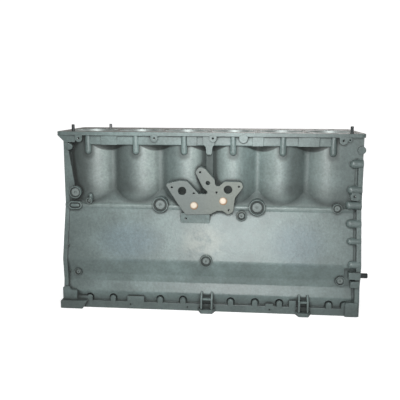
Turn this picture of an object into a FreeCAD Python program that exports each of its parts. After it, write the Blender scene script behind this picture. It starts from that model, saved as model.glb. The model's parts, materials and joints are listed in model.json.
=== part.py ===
import FreeCAD
import Part
import math
import os

# Six-cylinder engine block. Millimetres, X along the crankshaft, Z up, crank axis on the X axis.

# Bores, deck and rail
cylinder_count = 6
bore_pitch = 146.0
deck_z = 387.0
rail_z = -150.0
rail_edge_y = -150.0
rail_shelf_z = -127.0
front_x = -440.0
rear_x = 452.0
counterbore_r = 68.5
counterbore_depth = 10.0
upper_land_r = 66.5
lower_seat_r = 65.5
deck_thick = 11.0
flange_z = deck_z - deck_thick
jacket_roof_thick = 24.0
jacket_top_z = deck_z - jacket_roof_thick
jacket_floor_z = 218.0
jacket_end_wall = 13.0
bay_roof_z = 186.0
bore_lead_in = 1.5

# Cast jacket wall with a bulge round every cylinder
bulge_r = 100.0
valley_r = 16.0
jacket_wall_thick = 12.0
jacket_core_r = bulge_r - jacket_wall_thick
valley_y = valley_r - math.sqrt((bulge_r + valley_r) ** 2 - bore_pitch ** 2 / 4.0)
valley_backing = 14.0
wall_core_y = valley_y + valley_backing
far_wall_y = 168.0
panel_proud = 3.0
panel_y = -bulge_r - panel_proud
panel_height = 28.0
panel_bottom_z = flange_z - panel_height
panel_edge_r = 3.0
panel_pad_proud = 2.0
panel_pads = [(-324.0, -276.0), (-64.0, -35.0), (130.0, 162.0), (263.0, 324.0)]

# Deck plate, standing out past the panel and the far wall
deck_x0 = -460.0
deck_x1 = 457.0
deck_near_lip = 6.0
deck_far_lip = 10.0
deck_near_y = panel_y - deck_near_lip
deck_far_y = far_wall_y + deck_far_lip
deck_corner_r = 14.0
deck_tip_root_x = -436.0
deck_tip_drop = 32.0

# Outer section of the lower body as (y, z, corner radius), near side then far side
ramp_top_z = 229.0
near_section = [
    (wall_core_y, ramp_top_z, 0.0),
    (-bulge_r - 3.0, 170.0, 9.0),
    (-110.5, 166.0, 5.0),
    (-108.0, 154.0, 8.0),
    (-147.0, 3.0, 26.0),
    (-136.0, -44.0, 24.0),
    (-136.5, -66.0, 14.0),
    (-146.5, -97.0, 12.0),
    (-142.5, -118.0, 8.0),
    (-142.0, rail_shelf_z, 1.5),
    (rail_edge_y, rail_shelf_z - 0.5, 1.5),
    (rail_edge_y, rail_z, 0.0),
]
far_section = [
    (150.0, rail_z, 0.0),
    (150.0, -122.0, 3.0),
    (141.0, -112.0, 5.0),
    (141.0, -30.0, 60.0),
    (152.0, 60.0, 60.0),
    (far_wall_y, 128.0, 40.0),
    (far_wall_y, ramp_top_z, 0.0),
]

# Crankcase bays: inner section as (y, z, corner radius)
bay_section = [
    (-88.0, bay_roof_z, 20.0),
    (-88.0, 142.0, 14.0),
    (-112.0, 92.0, 20.0),
    (-136.0, 0.0, 26.0),
    (-125.0, -46.0, 24.0),
    (-125.0, rail_z, 0.0),
    (125.0, rail_z, 0.0),
    (130.0, -30.0, 60.0),
    (138.0, 40.0, 50.0),
    (104.0, 108.0, 16.0),
    (78.0, 122.0, 12.0),
    (78.0, bay_roof_z, 20.0),
]

# Main bearings
main_bore_r = 47.625
bulkhead_thick = 34.0
front_wall_thick = 36.0
rear_wall_thick = 36.0
cap_half_width = 86.0
cap_thick = 30.0
cap_height = 72.0
cap_shoulder_z = -42.0
cap_shoulder_y = 48.0
cap_corner_r = 9.0
cap_inner_r = 2.0
cap_clearance = 0.05
register_depth = 14.0
register_relief = 7.0
cap_bolt_y = 67.0
cap_bolt_r = 9.0
cap_bolt_engage = 62.0
cap_bolt_head_r = 15.0
cap_bolt_head_h = 13.0
bolt_clearance = 0.2
thread_clearance = 0.05
thrust_relief = 5.0
thrust_relief_r = 60.0

# Camshaft tunnel, followers and push rods on the far side
cam_y = 120.0
cam_z = 150.0
cam_bore_r = 33.35
cam_bush_inner_r = 30.5
cam_bush_length = 28.0
cam_plug_thick = 3.0
cam_plug_sink = 0.5
press_clearance = 0.03
chest_y0 = 84.0
chest_y1 = 157.0
chest_z0 = 114.0
chest_z1 = 196.0
chest_corner_r = 16.0
drain_r = 9.0
drain_depth = 40.0
follower_r = 14.5
follower_offset = 24.0
follower_boss_z1 = 236.0
rod_chest_y0 = 108.0
rod_chest_y1 = 157.0
rod_chest_roof_thick = 25.0
rod_chest_top_z = deck_z - rod_chest_roof_thick
rod_hole_r = 11.0
rod_chest_end_gap = 24.0

# Head bolts, deck ports and deck pins
head_bolt_r = 8.0
head_rib_r = 10.5
head_rib_sink = 3.0
head_rib_y = head_rib_sink - bulge_r
head_rib_bottom_z = 329.0
head_bolt_end_gap = 2.0
head_bolt_depth = deck_z - head_rib_bottom_z - head_bolt_end_gap
head_bolt_near_y = -92.0
head_bolt_far_y = 92.0
head_bolt_mid_y = 58.0
head_column_r = 15.0
water_port_r = 5.5
water_port_angles = [28.0, 152.0, 208.0, 332.0]
water_port_radius = 80.0
oil_port_r = 4.0
deck_pin_r = 4.6
deck_pin_hole_depth = 14.0
deck_pins = {
    "deck_pin_front": (-412.0, -92.0, 21.0),
    "deck_pin_inner": (-340.0, 84.0, 16.0),
    "deck_pin_rear": (417.0, -92.0, 21.0),
}

# Lugs hanging from the deck flange: x, centre drop below the deck, radius, hole radius
flange_lugs = [
    (-392.0, 20.0, 11.0, 3.4),
    (-162.0, 18.0, 11.0, 3.4),
    (13.0, 17.0, 11.0, 3.4),
    (103.0, 17.0, 12.5, 0.0),
    (392.0, 20.0, 12.0, 3.4),
    (410.0, 18.0, 6.0, 2.6),
]
lug_proud = 1.5
lug_hole_depth = 16.0

# Oil-cooler pad: outline as (x, z, corner radius)
pad_face_y = -121.0
pad_outline = [
    (-128.0, 234.0, 6.0),
    (-84.0, 245.0, 12.0),
    (-62.0, 243.0, 9.0),
    (-27.0, 205.5, 4.0),
    (-2.0, 205.5, 6.0),
    (-1.0, 214.0, 4.0),
    (-15.0, 226.0, 10.0),
    (-38.0, 272.0, 11.0),
    (-24.0, 288.0, 11.0),
    (-8.0, 281.0, 11.0),
    (20.0, 249.0, 10.0),
    (22.0, 230.0, 8.0),
    (34.0, 230.0, 7.0),
    (48.0, 243.5, 10.0),
    (99.0, 243.5, 9.0),
    (105.0, 228.0, 9.0),
    (81.0, 196.0, 12.0),
    (76.0, 154.0, 10.0),
    (61.0, 144.0, 10.0),
    (45.0, 156.0, 10.0),
    (28.0, 156.0, 14.0),
    (8.0, 145.0, 3.0),
    (-66.0, 142.0, 3.0),
    (-92.0, 178.0, 10.0),
]
pad_tapped_holes = [
    (-108.0, 224.0), (-42.0, 207.0), (-23.0, 271.0), (26.0, 211.0),
    (92.0, 229.0), (63.0, 158.0),
]
pad_tapped_r = 3.4
pad_tapped_depth = 18.0
pad_port = (0.0, 239.0, 6.5)
pad_large_ports = [(-77.0, 214.0), (60.0, 220.0)]
pad_large_r = 12.5
pad_port_depth = 26.0
pad_plug_sites = {
    "cooler_pad_plug_front": (-41.0, 170.0),
    "cooler_pad_plug_rear": (46.0, 185.0),
}
pad_plug_r = 12.0
pad_plug_depth = 10.0
pad_plug_dish = 1.6
step_pad = (-82.0, 6.0, 116.0, 146.0)
step_pad_y = -118.0
step_pad_hole = (-66.0, 129.0)
drop_duct_x = 3.0
drop_duct_r = 11.0
drop_duct_y = -86.0
drop_duct_z0 = 236.0
drop_duct_z1 = 345.0
hanger_outline = [
    (-16.0, 376.0, 0.0),
    (-16.0, 352.0, 4.0),
    (-8.0, 344.0, 5.0),
    (-6.0, 322.0, 6.0),
    (10.0, 322.0, 6.0),
    (12.0, 344.0, 5.0),
    (18.0, 352.0, 4.0),
    (18.0, 376.0, 0.0),
]
hanger_y = -106.5

# Threaded plugs on the near side: x, z, face y, plug radius, boss radius, socket across flats, boss root y
side_plugs = {
    "gallery_plug_front": (-144.0, 170.0, -120.0, 14.5, 23.0, 8.0, -90.0),
    "gallery_plug_rear": (147.0, 167.0, -120.0, 14.5, 23.5, 8.0, -90.0),
    "gallery_plug_small": (101.0, 141.0, -120.5, 8.5, 14.0, 6.0, -92.0),
    "gallery_plug_end": (382.0, 168.0, -119.0, 8.5, 14.0, 6.0, -90.0),
    "crankcase_plug": (-2.0, 7.0, -152.5, 10.5, 17.5, 7.0, -124.0),
    "lower_plug_front": (-397.0, -40.0, -143.5, 6.5, 11.0, 5.0, -118.0),
    "lower_plug_rear": (396.0, -45.0, -145.0, 9.0, 14.0, 6.0, -118.0),
    "sender_plug": (-406.0, 203.5, -117.0, 12.5, 18.5, 9.0, -70.0),
    "sensor_plug": (-362.0, 179.0, -122.0, 4.8, 9.0, 4.0, -88.0),
}
plug_recess = 4.6
plug_depth = 9.0
plug_groove = 1.6
plug_seat_gap = 2.6
plug_chamfer = 1.2
sensor_neck = (-361.0, -105.0, 178.0, 193.0, 6.5)
socket_depth = 6.0

# Plain bosses on the near side: x, z, face y, radius, root y
plain_bosses = [
    (-421.0, 342.0, -110.0, 9.5, -80.0),
    (445.0, 340.0, -111.0, 11.5, -80.0),
]
capsule_boss = (-416.0, -398.0, 164.0, 12.0, -119.0, -85.0)
capsule_rim = 3.5
capsule_pocket_depth = 5.0
capsule_island_r = 4.5
capsule_island_drop = 1.0

# End flanges: outline as (y, z, corner radius)
front_plate_thick = 13.0
end_plate_thick = 14.0
front_plate_outline = [
    (-104.0, 376.0, 0.0),
    (-106.0, 168.0, 20.0),
    (-151.0, 3.0, 26.0),
    (-146.0, -60.0, 20.0),
    (-152.0, -104.0, 10.0),
    (-152.0, -150.0, 0.0),
    (154.0, -150.0, 0.0),
    (150.0, -30.0, 60.0),
    (158.0, 60.0, 50.0),
    (173.0, 128.0, 40.0),
    (173.0, 376.0, 0.0),
]
rear_plate_outline = [
    (-97.0, 376.0, 0.0),
    (-97.0, 316.0, 4.0),
    (-110.0, 302.0, 8.0),
    (-114.0, 168.0, 20.0),
    (-156.0, 3.0, 26.0),
    (-148.0, -60.0, 20.0),
    (-155.0, -104.0, 10.0),
    (-155.0, -150.0, 0.0),
    (156.0, -150.0, 0.0),
    (152.0, -30.0, 60.0),
    (160.0, 60.0, 50.0),
    (174.0, 128.0, 40.0),
    (174.0, 376.0, 0.0),
]

# Drafted strip that joins the jacket wall to the front flange: outline as (x, z, corner radius)
front_strip = [
    (front_x, 160.0, 0.0),
    (-405.0, 160.0, 0.0),
    (-407.0, 205.0, 30.0),
    (-429.0, 352.0, 0.0),
    (front_x, 352.0, 0.0),
]
front_strip_y = -104.5

# Bolt bosses lying along the rear flange: start x, centre y, z, radius
rear_boss_r = 12.0
rear_bosses = [
    (413.0, -103.0, 299.0, 13.0),
    (409.0, -105.0, 223.0, 13.0),
    (405.0, -109.0, 178.0, 12.5),
    (408.0, -117.0, 124.0, 13.0),
    (411.0, -131.0, 74.0, 10.0),
    (414.0, -147.0, 8.0, 11.0),
]
rear_far_bosses = [
    (412.0, 160.0, 302.0, 12.0),
    (407.0, 160.0, 226.0, 12.0),
    (407.0, 152.0, 126.0, 12.0),
    (411.0, 142.0, 60.0, 11.0),
    (414.0, 136.0, 0.0, 11.0),
    (414.0, 133.0, -70.0, 11.0),
]
rear_tap_r = 5.5
rear_tap_depth = 28.0
rear_tap_block = (418.0, 447.0, 193.0, 216.0)
rear_tap_block_y = -117.0
rear_tap_block_hole = (430.0, 205.0, 4.0)
pin_block = (417.0, 451.0, -34.5, -13.5)
pin_block_y = -158.0
pin_block_foot = (424.0, 451.0, -62.0, -42.0)
pin_block_foot_y = -153.0
pin_pocket = (405.5, 424.0, -60.0, -4.0)
pin_pocket_floor_y = -135.5

# Gutter between the wall and the rear flange
gutter_width = 8.0
gutter_depth = 6.0
gutter_top_z = 316.0
gutter_low_z = -116.0
rear_pin_r = 7.5
rear_pin_proud = 20.0
rear_pin_depth = 22.0
rear_pins = {
    "rear_dowel_near": (-148.0, -24.0),
    "rear_dowel_far": (134.0, 236.0),
}
rear_far_pin_pad_r = 16.0

# Front flange pins and holes
front_pin_r = 6.0
front_pin_proud = 9.0
front_pin_depth = 16.0
front_pins = {
    "front_dowel_near": (-114.0, -76.0),
    "front_dowel_far": (148.0, 40.0),
}
front_taps = [
    (-92.0, 352.0), (-94.0, 262.0), (-98.0, 196.0), (-112.0, 112.0), (-134.0, 40.0), (-134.0, -40.0),
    (-134.0, -112.0), (162.0, 352.0), (162.0, 262.0), (162.0, 196.0), (150.0, 104.0), (138.0, -30.0),
    (138.0, -112.0),
]
front_tap_r = 5.0
front_tap_depth = 18.0
idler_y = 34.0
idler_z = 142.0
idler_boss_r = 34.0
idler_bore_r = 18.0
idler_depth = 30.0
front_water_port = (-36.0, 300.0, 24.0)
rear_water_port = (40.0, 318.0, 18.0)
gallery_y = -98.5
gallery_z = 162.0
gallery_r = 5.5
gallery_plug_r = 7.5
gallery_plug_depth = 9.0

# Corner details
corner_block = (411.0, 447.0, -150.0, -107.0)
corner_block_y = -157.0
corner_root_y = -128.0
front_box = (-442.0, -398.0, -126.0, -84.0)
front_box_y = -157.0
front_box_shelf_z = -94.0
front_box_shelf_x = -417.0
front_foot = (-448.0, -366.0)
front_foot_y = -166.0
front_foot_top_z = -125.0
front_foot_slope = 14.0

# Pan rail bosses, raised lengths and feet
rail_boss_r = 9.5
rail_boss_x = [-361.0, -288.0, -142.0, -72.0, 73.0, 146.0, 219.0, 365.0, 410.0]
rail_boss_y = -144.0
rail_boss_top_z = -119.0
rail_scoop_r = 13.5
rail_scoop_y = -149.0
rail_scoop_z = -118.0
rail_raised = [(-398.0, -368.0, -114.0), (-243.0, -191.0, -110.0), (178.0, 200.0, -120.0), (248.0, 268.0, -108.0)]
rail_tap_r = 5.0
rail_tap_depth = 24.0
rail_far_tap_y = 139.0
rail_near_tap_y = -139.0
rail_side_holes = [(-234.0, -136.0), (-58.0, -139.0), (190.0, -138.5)]
rail_side_hole_r = 2.6
rail_side_hole_depth = 8.0
rail_feet = [(-25.0, 27.0), (266.0, 312.0)]
foot_y = -172.0
foot_top_z = -139.0
foot_slope = 9.0
foot_rib_thick = 5.0
foot_rib_inset = 8.0
foot_rib_top_z = -90.0
foot_bar_z = -106.0
foot_bar_thick = 5.0
foot_rib_top_y = -147.0
foot_rib_low_y = -167.0

# Far side: stiffening ribs, pump pad, breather pad, cup plugs
far_rib_r = 9.0
far_rib_y = 143.0
far_rib_z0 = -112.0
far_rib_z1 = 112.0
pump_pad = (-372.0, -196.0, 206.0, 292.0)
pump_pad_y = 176.0
pump_pad_corner_r = 14.0
pump_pad_inset = 14.0
pump_pad_port_r = 15.0
breather_pad = (196.0, 300.0, 196.0, 262.0)
breather_pad_y = 175.0
far_pad_tap_r = 4.2
far_pad_tap_depth = 16.0
cup_plug_sites = {
    "cup_plug_1": (-119.0, 300.0),
    "cup_plug_2": (0.0, 300.0),
    "cup_plug_3": (119.0, 300.0),
    "cup_plug_4": (365.0, 300.0),
}
cup_plug_r = 22.0
cup_plug_depth = 9.0
cup_plug_wall = 1.8
cup_plug_sink = 2.0
cup_boss_r = 29.0
cup_boss_y = 174.0
mount_pad = (310.0, 400.0, -60.0, 20.0)
mount_pad_y = 158.0

x_axis = FreeCAD.Vector(1.0, 0.0, 0.0)
y_axis = FreeCAD.Vector(0.0, 1.0, 0.0)
z_axis = FreeCAD.Vector(0.0, 0.0, 1.0)
cylinder_x = [(k - (cylinder_count - 1) / 2.0) * bore_pitch for k in range(cylinder_count)]
mid_x = [(k - cylinder_count / 2.0) * bore_pitch for k in range(cylinder_count + 1)]
overshoot = 5.0


def vec(x, y, z):
    return FreeCAD.Vector(x, y, z)


def box(x0, x1, y0, y1, z0, z1):
    return Part.makeBox(x1 - x0, y1 - y0, z1 - z0, vec(x0, y0, z0))


def rod(radius, length, start, axis):
    return Part.makeCylinder(radius, length, start, axis)


def corner_arc(before, corner, after, radius):
    # tangent points and middle of the arc that rounds one corner
    ahead = (after - corner).normalize()
    back = (before - corner).normalize()
    half = ahead.getAngle(back) / 2.0
    reach = radius / math.tan(half)
    bisector = (ahead + back).normalize()
    centre = corner + bisector * (radius / math.sin(half))
    return corner + back * reach, centre - bisector * radius, corner + ahead * reach


def rounded_face(corners, placed):
    # closed outline whose corners each carry their own radius
    spots = [placed(a, b) for a, b, radius in corners]
    edges = []
    joints = []
    count = len(corners)
    for k in range(count):
        radius = corners[k][2]
        if radius > 0.0:
            first, middle, last = corner_arc(spots[k - 1], spots[k], spots[(k + 1) % count], radius)
            edges.append(Part.Arc(first, middle, last).toShape())
            joints.append((first, last))
        else:
            joints.append((spots[k], spots[k]))
    for k in range(count):
        start = joints[k][1]
        end = joints[(k + 1) % count][0]
        if start.distanceToPoint(end) > 0.001:
            edges.append(Part.makeLine(start, end))
    return Part.Face(Part.Wire(Part.__sortEdges__(edges)))


def along_x(corners, x0, x1):
    # section given as (y, z, radius), swept from x0 to x1
    face = rounded_face(corners, lambda a, b: vec(x0, a, b))
    return face.extrude(vec(x1 - x0, 0.0, 0.0))


def along_y(corners, y0, y1):
    # outline given as (x, z, radius), swept from y0 to y1
    face = rounded_face(corners, lambda a, b: vec(a, y0, b))
    return face.extrude(vec(0.0, y1 - y0, 0.0))


def along_z(corners, z0, z1):
    # plan given as (x, y, radius), swept from z0 to z1
    face = rounded_face(corners, lambda a, b: vec(a, b, z0))
    return face.extrude(vec(0.0, 0.0, z1 - z0))


def rect(x0, x1, z0, z1, radius):
    return [(x0, z0, radius), (x1, z0, radius), (x1, z1, radius), (x0, z1, radius)]


def hexagon(centre, axis, flats, depth, side):
    # hexagonal prism, side is a direction square to the axis
    across = axis.cross(side)
    points = []
    for k in range(7):
        angle = math.radians(60.0 * k)
        reach = flats / math.sqrt(3.0)
        points.append(centre + side * (reach * math.cos(angle)) + across * (reach * math.sin(angle)))
    return Part.Face(Part.makePolygon(points)).extrude(axis * depth)


def bulged_plan():
    # plan of the jacket wall: an arc round every cylinder, joined by hollows
    side = valley_r + bulge_r
    hollow_y = -math.sqrt(side * side - bore_pitch * bore_pitch / 4.0)
    share = bulge_r / side
    touch_x = bore_pitch / 2.0 * share
    touch_y = hollow_y * share
    edges = []
    start = vec(front_x, touch_y, 0.0)
    spot = vec(cylinder_x[0] - touch_x, touch_y, 0.0)
    edges.append(Part.makeLine(start, spot))
    for k, x in enumerate(cylinder_x):
        crown = vec(x, -bulge_r, 0.0)
        if k == cylinder_count - 1:
            middle_angle = (math.asin(touch_x / bulge_r)) / 2.0
            middle = vec(x - bulge_r * math.sin(middle_angle), -bulge_r * math.cos(middle_angle), 0.0)
            edges.append(Part.Arc(spot, middle, crown).toShape())
            spot = crown
        else:
            end = vec(x + touch_x, touch_y, 0.0)
            edges.append(Part.Arc(spot, crown, end).toShape())
            after = vec(x + bore_pitch - touch_x, touch_y, 0.0)
            hollow = vec(x + bore_pitch / 2.0, hollow_y + valley_r, 0.0)
            edges.append(Part.Arc(end, hollow, after).toShape())
            spot = after
    corners = [vec(rear_x, -bulge_r, 0.0), vec(rear_x, far_wall_y, 0.0), vec(front_x, far_wall_y, 0.0), start]
    for corner in corners:
        edges.append(Part.makeLine(spot, corner))
        spot = corner
    return Part.Face(Part.Wire(edges))


def jacket_wall():
    floor_z = near_section[3][1]
    wall = bulged_plan()
    wall.translate(vec(0.0, 0.0, floor_z))
    return wall.extrude(vec(0.0, 0.0, flange_z - floor_z))


def upper_panel():
    outline = [
        (wall_core_y, panel_bottom_z, 0.0),
        (panel_y, panel_bottom_z, panel_edge_r),
        (panel_y, flange_z + 1.0, 0.0),
        (wall_core_y, flange_z + 1.0, 0.0),
    ]
    parts = [along_x(outline, cylinder_x[0], cylinder_x[-1])]
    for x0, x1 in panel_pads:
        parts.append(box(x0, x1, panel_y - panel_pad_proud, wall_core_y, panel_bottom_z, flange_z + 1.0))
    return parts


def deck_plate():
    plan = [
        (deck_x0, deck_near_y, deck_corner_r),
        (deck_x1, deck_near_y, deck_corner_r),
        (deck_x1, deck_far_y, deck_corner_r),
        (deck_x0, deck_far_y, deck_corner_r),
    ]
    tip = [
        (deck_x0 + bore_lead_in, flange_z + 1.0, 0.0),
        (deck_tip_root_x, deck_z - deck_tip_drop, 0.0),
        (deck_tip_root_x + deck_tip_drop, deck_z - deck_tip_drop, 0.0),
        (deck_tip_root_x + deck_tip_drop, flange_z + 1.0, 0.0),
    ]
    tip_y0 = deck_near_y + 3.0
    tip_y1 = deck_far_y - deck_corner_r
    return [along_z(plan, flange_z, deck_z), along_y(tip, tip_y0, tip_y1)]


def domed_rod(radius, start, end):
    # round bar whose first end is a half sphere
    run = end - start
    bar = Part.makeCylinder(radius, run.Length, start, run)
    return [bar, Part.makeSphere(radius, start)]


def head_ribs():
    parts = []
    for x in cylinder_x:
        low = vec(x, head_rib_y, head_rib_bottom_z)
        parts += domed_rod(head_rib_r, low, vec(x, head_rib_y, flange_z + 1.0))
    return parts


def lugs():
    parts = []
    for x, drop, radius, hole in flange_lugs:
        z = deck_z - drop
        face = deck_near_y - lug_proud * 0.3
        tab = rod(radius, panel_y + overshoot - face, vec(x, face, z), y_axis)
        web = box(x - radius, x + radius, face, panel_y + overshoot, z, flange_z + 1.0)
        parts += [tab, web]
    return parts


def lug_holes():
    holes = []
    for x, drop, radius, hole in flange_lugs:
        if hole > 0.0:
            start = vec(x, deck_near_y - overshoot, deck_z - drop)
            holes.append(rod(hole, lug_hole_depth + overshoot, start, y_axis))
    return holes


def cooler_pad():
    body = along_y(pad_outline, pad_face_y, -bulge_r + 20.0)
    x0, x1, z0, z1 = step_pad
    step = along_y(rect(x0, x1, z0, z1, 5.0), step_pad_y, -bulge_r)
    duct = []
    duct_front = drop_duct_y - drop_duct_r
    duct_plan = [
        (drop_duct_x - drop_duct_r - 1.0, duct_front, 5.0),
        (drop_duct_x + drop_duct_r + 1.0, duct_front, 5.0),
        (drop_duct_x + drop_duct_r + 1.0, wall_core_y, 0.0),
        (drop_duct_x - drop_duct_r - 1.0, wall_core_y, 0.0),
    ]
    duct.append(along_z(duct_plan, drop_duct_z0 - 40.0, drop_duct_z1 + 10.0))
    hanger = along_y(hanger_outline, hanger_y, wall_core_y)
    return [body, step, hanger] + duct


def cooler_pad_holes():
    holes = []
    for x, z in pad_tapped_holes:
        holes.append(rod(pad_tapped_r, pad_tapped_depth + 1.0, vec(x, pad_face_y - 1.0, z), y_axis))
    x, z, radius = pad_port
    holes.append(rod(radius, pad_port_depth, vec(x, pad_face_y - 1.0, z), y_axis))
    for x, z in pad_large_ports:
        holes.append(rod(pad_large_r, pad_port_depth, vec(x, pad_face_y - 1.0, z), y_axis))
    for x, z in pad_plug_sites.values():
        holes.append(rod(pad_plug_r + press_clearance, pad_plug_depth + 1.0, vec(x, pad_face_y - 1.0, z), y_axis))
    x, z = step_pad_hole
    holes.append(rod(pad_tapped_r, pad_tapped_depth, vec(x, step_pad_y - 1.0, z), y_axis))
    return holes


def capsule(x0, x1, z, radius, y0, y1):
    # bar with round ends, long along X, standing from y0 to y1
    return along_y(rect(x0 - radius, x1 + radius, z - radius, z + radius, radius - 0.01), y0, y1)


def plug_bosses():
    parts = []
    for x, z, face, radius, boss, socket, root in side_plugs.values():
        barrel = rod(boss, root - face, vec(x, face, z), y_axis)
        parts.append(barrel)
    for x, z, face, radius, root in plain_bosses:
        parts.append(rod(radius, root - face, vec(x, face, z), y_axis))
    x0, x1, z, radius, face, root = capsule_boss
    rim = capsule(x0, x1, z, radius, face, root)
    pocket = capsule(x0, x1, z, radius - capsule_rim, face - 1.0, face + capsule_pocket_depth)
    island = capsule(x0, x1, z, capsule_island_r, face + capsule_island_drop, root)
    parts.append(rim.cut(pocket).fuse(island))
    x, y, z0, z1, radius = sensor_neck
    parts += domed_rod(radius, vec(x, y, z1), vec(x, y, z0))
    return parts


def plug_holes():
    holes = []
    for x, z, face, radius, boss, socket, root in side_plugs.values():
        lip = radius + plug_seat_gap
        holes.append(rod(lip, plug_recess + plug_groove + 1.0, vec(x, face - 1.0, z), y_axis))
        seat = vec(x, face + 1.0, z)
        holes.append(rod(radius + thread_clearance, plug_recess + plug_depth - 1.0, seat, y_axis))
    return holes


def side_plug(values):
    x, z, face, radius, boss, socket, root = values
    start = vec(x, face + plug_recess, z)
    plug = rod(radius, plug_depth, start, y_axis)
    plug = plug.makeChamfer(plug_chamfer, [rim for rim in plug.Edges if abs(rim.BoundBox.YMax - start.y) < 0.01])
    return plug.cut(hexagon(start - y_axis, y_axis, socket, socket_depth + 1.0, x_axis))


def end_plates():
    front = along_x(front_plate_outline, front_x, front_x + front_plate_thick)
    strip = along_y(front_strip, front_strip_y, wall_core_y)
    rear = along_x(rear_plate_outline, rear_x - end_plate_thick, rear_x)
    return [front, strip, rear]


def rear_gutter():
    # channel between the wall and the rear flange, following the near side
    x1 = rear_x - end_plate_thick + 0.5
    x0 = x1 - gutter_width - 0.5
    slab = box(x0, x1, pin_block_y, wall_core_y, gutter_low_z, gutter_top_z)
    inner = [(y + gutter_depth, z, radius) for y, z, radius in near_section]
    core = along_x(inner + far_section, x0 - 1.0, x1 + 1.0)
    above = box(x0 - 1.0, x1 + 1.0, gutter_depth - bulge_r, 0.0, near_section[1][1], gutter_top_z + 1.0)
    return slab.cut([core, above])


def pin_block_pocket():
    x0, x1, z0, z1 = pin_pocket
    return along_y(rect(x0, x1, z0, z1, 5.0), pin_block_y, pin_pocket_floor_y)


def rear_flange_bosses():
    parts = []
    for x, y, z, radius in rear_bosses + rear_far_bosses:
        parts += domed_rod(radius, vec(x + radius, y, z), vec(rear_x - 0.5, y, z))
    x0, x1, z0, z1 = rear_tap_block
    parts.append(along_y(rect(x0, x1, z0, z1, 9.0), rear_tap_block_y, -90.0))
    x0, x1, z0, z1 = pin_block
    parts.append(box(x0, x1, pin_block_y, -120.0, z0, z1))
    x0, x1, z0, z1 = pin_block_foot
    parts.append(box(x0, x1, pin_block_foot_y, -120.0, z0, z1))
    y, z = rear_pins["rear_dowel_far"]
    parts.append(rod(rear_far_pin_pad_r, 30.0, vec(rear_x - 30.5, y, z), x_axis))
    return parts


def rear_holes():
    holes = []
    for x, y, z, radius in rear_bosses + rear_far_bosses:
        holes.append(rod(rear_tap_r, rear_tap_depth + 1.0, vec(rear_x + 1.0, y, z), x_axis * -1.0))
    x, z, radius = rear_tap_block_hole
    holes.append(rod(radius, 16.0, vec(x, rear_tap_block_y - 1.0, z), y_axis))
    for y, z in rear_pins.values():
        reach = rear_pin_depth + 0.5
        holes.append(rod(rear_pin_r + press_clearance, reach + 1.0, vec(rear_x + 1.0, y, z), x_axis * -1.0))
    y, z, radius = rear_water_port
    holes.append(rod(radius, rear_wall_thick + 30.0, vec(rear_x + 1.0, y, z), x_axis * -1.0))
    return holes


def front_holes():
    holes = []
    for y, z in front_taps:
        holes.append(rod(front_tap_r, front_tap_depth + 1.0, vec(front_x - 1.0, y, z), x_axis))
    for y, z in front_pins.values():
        holes.append(rod(front_pin_r + press_clearance, front_pin_depth + 1.5, vec(front_x - 1.0, y, z), x_axis))
    holes.append(rod(idler_bore_r, idler_depth + 1.0, vec(front_x - 1.0, idler_y, idler_z), x_axis))
    y, z, radius = front_water_port
    holes.append(rod(radius, 60.0, vec(front_x - 1.0, y, z), x_axis))
    return holes


def gallery_holes():
    # main oil gallery drilled from both ends, with a wider seat for its end plugs
    length = rear_x - front_x + 2.0
    drill = rod(gallery_r, length, vec(front_x - 1.0, gallery_y, gallery_z), x_axis)
    seat_r = gallery_plug_r + thread_clearance
    front = rod(seat_r, gallery_plug_depth + 1.0, vec(front_x - 1.0, gallery_y, gallery_z), x_axis)
    rear = rod(seat_r, gallery_plug_depth + 1.0, vec(rear_x + 1.0, gallery_y, gallery_z), x_axis * -1.0)
    return [drill, front, rear]


def corner_details():
    x0, x1, z0, z1 = corner_block
    parts = [along_y([(x0, z0, 0.0), (x1, z0, 0.0), (x1, z1, 2.0), (x0, z1, 9.0)], corner_block_y, corner_root_y)]
    x0, x1, z0, z1 = front_box
    shelf = front_box_shelf_z
    step = front_box_shelf_x
    outline = [
        (x0, z0, 0.0),
        (x1, z0, 0.0),
        (x1, shelf, 4.0),
        (step, shelf, 4.0),
        (step - (z1 - shelf) / 2.0, z1, 4.0),
        (x0, z1, 5.0),
    ]
    parts.append(along_y(outline, front_box_y, corner_root_y))
    x0, x1 = front_foot
    foot = [
        (x0, rail_z, 3.0),
        (x1 - front_foot_slope, rail_z, 3.0),
        (x1, front_foot_top_z, 0.0),
        (x0, front_foot_top_z, 3.0),
    ]
    parts.append(along_y(foot, front_foot_y, corner_root_y))
    return parts


def rail_scoops():
    # rounded hollows in the flare that clear the spanner round each rail boss
    cuts = []
    for x in rail_boss_x:
        low = vec(x, rail_scoop_y, rail_shelf_z)
        cuts.append(rod(rail_scoop_r, rail_scoop_z - rail_shelf_z, low, z_axis))
        cuts.append(Part.makeSphere(rail_scoop_r, vec(x, rail_scoop_y, rail_scoop_z)))
    return cuts


def rail_bosses():
    parts = []
    for x in rail_boss_x:
        parts += domed_rod(rail_boss_r, vec(x, rail_boss_y, rail_boss_top_z), vec(x, rail_boss_y, rail_z + 0.5))
    behind = rail_boss_y + rail_boss_r + 1.0
    ahead = box(front_x, rear_x, rail_edge_y, behind, rail_z, rail_boss_top_z + rail_boss_r + 1.0)
    return [part.common(ahead) for part in parts]


def rail_details():
    parts = []
    for x0, x1, z1 in rail_raised:
        parts.append(box(x0, x1, rail_edge_y, -130.0, rail_z, z1))
    return parts


def foot_wedge(x0, x1):
    # upright rib tapering from the foot up to the crankcase wall
    corners = [
        (foot_rib_low_y, foot_top_z - 1.0, 0.0),
        (foot_rib_low_y + 3.0, foot_bar_z, 0.0),
        (foot_rib_top_y, foot_rib_top_z, 0.0),
        (-130.0, foot_rib_top_z, 0.0),
        (-130.0, foot_top_z - 1.0, 0.0),
    ]
    return along_x(corners, x0, x1)


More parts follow.
